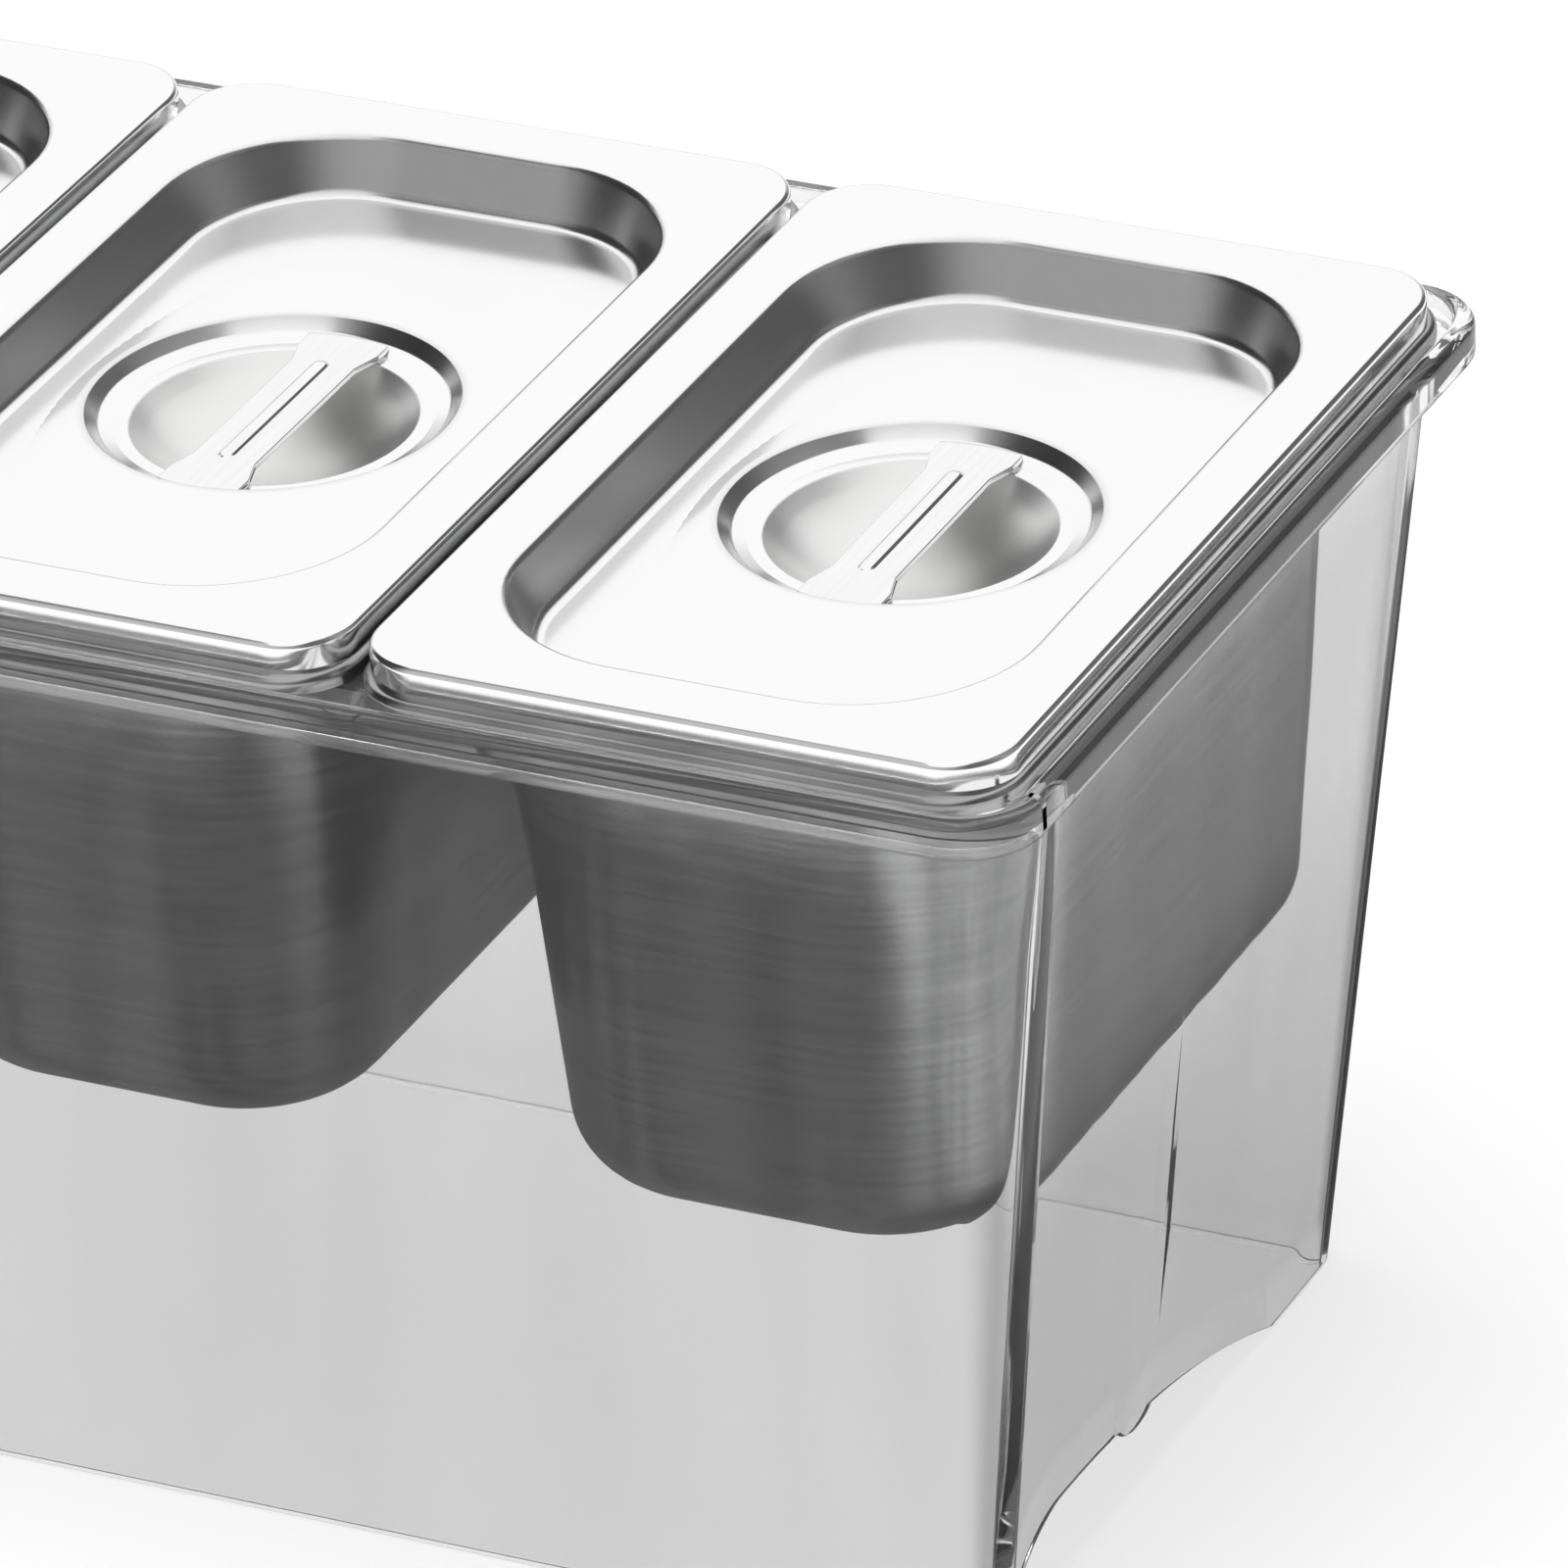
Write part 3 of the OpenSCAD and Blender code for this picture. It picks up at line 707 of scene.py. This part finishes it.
def meet_end_walls(rows, on_end):
    """The rows of ledge and lip, drawn together on the end walls to the line where wall and lip meet.

    That line is where the wall plane meets the round lower edge of the lip. Points under the ledge that
    stand further in move onto it.
    """
    lean = END_LEAN / SEAT_Z
    r = LIP_T / 2
    middle_x, middle_z = RIM_X - r, SEAT_Z - LIP_DOWN + r
    z = middle_z - np.linspace(0, r, 400)
    wall_x = WALL_X - (SEAT_Z - z) * lean
    from_edge = np.abs(np.hypot(wall_x - middle_x, z - middle_z) - r)
    meet_z = z[np.argmin(from_edge)]
    meet_x = WALL_X - (SEAT_Z - meet_z) * lean
    x = np.abs(rows[..., 0])
    tolerance = 0.1
    under = rows[..., 2] < SEAT_Z - LEDGE_T + tolerance
    first = np.arange(len(rows))[:, None] == 0
    taken = on_end & under & ((x < meet_x) | first)
    moved = rows.copy()
    moved[..., 0] = np.where(taken, np.sign(rows[..., 0]) * meet_x, rows[..., 0])
    moved[..., 2] = np.where(taken, meet_z, rows[..., 2])
    return moved


def place_of(node):
    """Middle of a node along the row, in millimetres."""
    low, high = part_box(node)
    return (low[0] + high[0]) / 2 / MM


def build_object():
    """Makes every piece, in place of the node that it stands for."""
    plastic, pan, lid, strap = clear_plastic(), pan_steel(), lid_steel(), strap_steel()
    made = [(stand_piece(plastic), "stand", "clear_plastic")]
    for side in SIDES:
        made.append((pan_piece(side, pan), f"pan_{side}", "pan_steel"))
        made.append((lid_piece(side, lid), f"lid_{side}", "lid_steel"))
        made.append((strap_piece(side, strap), f"strap_{side}", "strap_steel"))
    for piece, node, slot in made:
        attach(piece, "root")
        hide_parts(node)
        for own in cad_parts[node].material_slots:
            own.material = piece.data.materials[0]


def build_camera():
    """Camera on a long lens, at its azimuth and elevation from the front, rolled a little."""
    az, el, roll = CAMERA_AZIMUTH, CAMERA_ELEVATION, CAMERA_ROLL
    ahead = -np.array([np.sin(az) * np.cos(el), -np.cos(az) * np.cos(el), np.sin(el)])
    right = np.cross(ahead, (0, 0, 1))
    right /= np.linalg.norm(right)
    up = np.cross(right, ahead)
    right, up = np.cos(roll) * right + np.sin(roll) * up, np.cos(roll) * up - np.sin(roll) * right
    place = np.array(CAMERA_AIM) - CAMERA_RIGHT * right - CAMERA_UP * up - CAMERA_DISTANCE * ahead
    data = bpy.data.cameras.new("camera")
    data.sensor_width = SENSOR
    data.lens = FOCAL_PIXELS / IMAGE_PIXELS * SENSOR
    data.clip_end = 50
    camera = bpy.data.objects.new("camera", data)
    matrix = np.eye(4)
    matrix[:3, :3] = np.stack([right, up, -ahead], axis=1)
    matrix[:3, 3] = place * MM
    camera.matrix_world = Matrix(matrix.tolist())
    bpy.context.scene.collection.objects.link(camera)
    bpy.context.scene.camera = camera


def seen_directly(graph):
    """1 for rays that show the background: from the camera, from a mirror or through the plastic."""
    names = ("Is Camera Ray", "Is Glossy Ray", "Is Transmission Ray")
    camera, glossy, transmission = (light_path(graph, name) for name in names)
    return camera.math("MAXIMUM", glossy).math("MAXIMUM", transmission)


def stage_plane(name, span_x, span_y, z, material):
    """Level rectangle of the stage over two spans in metres."""
    (left, right), (front, back) = span_x, span_y
    corners = [(left, front, z), (right, front, z), (right, back, z), (left, back, z)]
    mesh = bpy.data.meshes.new(name)
    mesh.from_pydata(corners, [], [(0, 1, 2, 3)])
    mesh.materials.append(material)
    piece = bpy.data.objects.new(name, mesh)
    bpy.context.scene.collection.objects.link(piece)
    return piece


def build_stage():
    """White world and floor, and one soft lamp overhead."""
    world = bpy.data.worlds.new("studio")
    bpy.context.scene.world = world
    graph = Graph(world)
    light = seen_directly(graph) * (1 - WORLD_LIGHT) + WORLD_LIGHT
    graph.close(graph.node("ShaderNodeBackground", None, {"Color": (1, 1, 1, 1), "Strength": light}))

    graph = Graph(bpy.data.materials.new("floor_white"))
    plain = graph.node("ShaderNodeBsdfDiffuse", None, {"Color": (FLOOR_TONE, FLOOR_TONE, FLOOR_TONE, 1)})
    white = glow(graph, (1, 1, 1, 1))
    share = seen_directly(graph) * FLOOR_GLOW
    mixed = graph.node("ShaderNodeMixShader", None, {0: share, 1: plain, 2: white})
    span = (-FLOOR_HALF, FLOOR_HALF)
    stage_plane("floor", span, span, 0, graph.close(mixed))

    lamp_data = bpy.data.lights.new("softbox", "AREA")
    lamp_data.size, lamp_data.energy = LAMP_SIZE, LAMP_POWER
    lamp = bpy.data.objects.new("softbox", lamp_data)
    lamp.location = LAMP_PLACE
    lamp.visible_glossy = False
    bpy.context.scene.collection.objects.link(lamp)


def only_in_reflections(piece):
    """Hides a stage piece from the camera, from diffuse light and from shadows."""
    piece.visible_camera = False
    piece.visible_diffuse = False
    piece.visible_shadow = False


def build_surround():
    """Round wall of pale and dark cards about the studio, with open light above them.

    The light opens above a height that changes round the studio: it is low at the back left, which the flat
    lids mirror, and high elsewhere. A height counts as atan2(z, radius) over a quarter turn, 0 at the floor.
    """
    graph = Graph(bpy.data.materials.new("surround_grey"))
    x, y, z = object_place(graph)
    turn = y.math("ARCTAN2", x) / (2 * np.pi) + 0.5
    height = z.math("ARCTAN2", SURROUND_R) / (np.pi / 2)
    cards, opens = graph.ramp(turn, SURROUND_TONES), graph.ramp(turn, SURROUND_OPENS)
    tone = blend(graph, smooth_step(graph, height, opens, opens + OPENING_FADE), cards, (1, 1, 1, 1))
    angles = np.linspace(0, 2 * np.pi, SURROUND_SIDES, endpoint=False)
    rows = circle_rows(angles, [SURROUND_R / MM] * 2, [0.0, SURROUND_H / MM])
    wall = grid_piece("surround", rows, graph.close(glow(graph, tone)))
    only_in_reflections(wall)
    wall.visible_transmission = False


def build_floor_card():
    """Card on the floor round the stand, with soft edges, seen only by light that a piece has mirrored.

    It has dark and pale strips in front of the pans, a pale end at the front right, and a plain grey further
    back under the stand, painted shade for the floor there, which is darker under the right end and pale
    beyond it.
    """
    graph = Graph(bpy.data.materials.new("floor_card"))
    x, y, z = object_place(graph)
    strips = graph.node("ShaderNodeTexNoise", {"noise_dimensions": "1D"},
                        {"W": x * 0.89 - y * 0.45, "Scale": 55.0, "Detail": 1.0})
    pale_end, plain = (0.40, 0.40, 0.402, 1), (0.14, 0.14, 0.141, 1)
    shade_under_end, beyond_end = (0.08, 0.08, 0.08, 1), (0.31, 0.31, 0.31, 1)
    front = blend(graph, smooth_step(graph, x + y * 0.4, 0.06, 0.16),
                  graph.ramp(strips, ((0.38, 0.03), (0.62, 0.26))), pale_end)
    # Painted shade: the grey under the stand, darkest under its right end, stands for the shadow on the floor
    # there
    right = blend(graph, smooth_step(graph, x, 0.180, 0.205), shade_under_end, beyond_end)
    rest = blend(graph, smooth_step(graph, x, 0.146, 0.150), plain, right)
    tone = blend(graph, smooth_step(graph, y, -0.12, -0.04), front, rest)

    share = light_path(graph, "Glossy Depth").math("GREATER_THAN", 0.5)
    fades = ((x, 0.225, 0.250), (x * -1.0, 0.40, 0.45), (y, 0.32, 0.38), (y * -1.0, 0.31, 0.345))
    for place, start, end in fades:
        share = share * (1.0 - smooth_step(graph, place, start, end))
    clear = graph.node("ShaderNodeBsdfTransparent")
    mixed = graph.node("ShaderNodeMixShader", None, {0: share, 1: clear, 2: glow(graph, tone)})
    card = stage_plane("floor_card", CARD_X, CARD_Y, CARD_Z, graph.close(mixed))
    only_in_reflections(card)


bpy.context.scene.view_settings.view_transform = "Standard"
build_camera()
build_object()
build_stage()
build_surround()
build_floor_card()
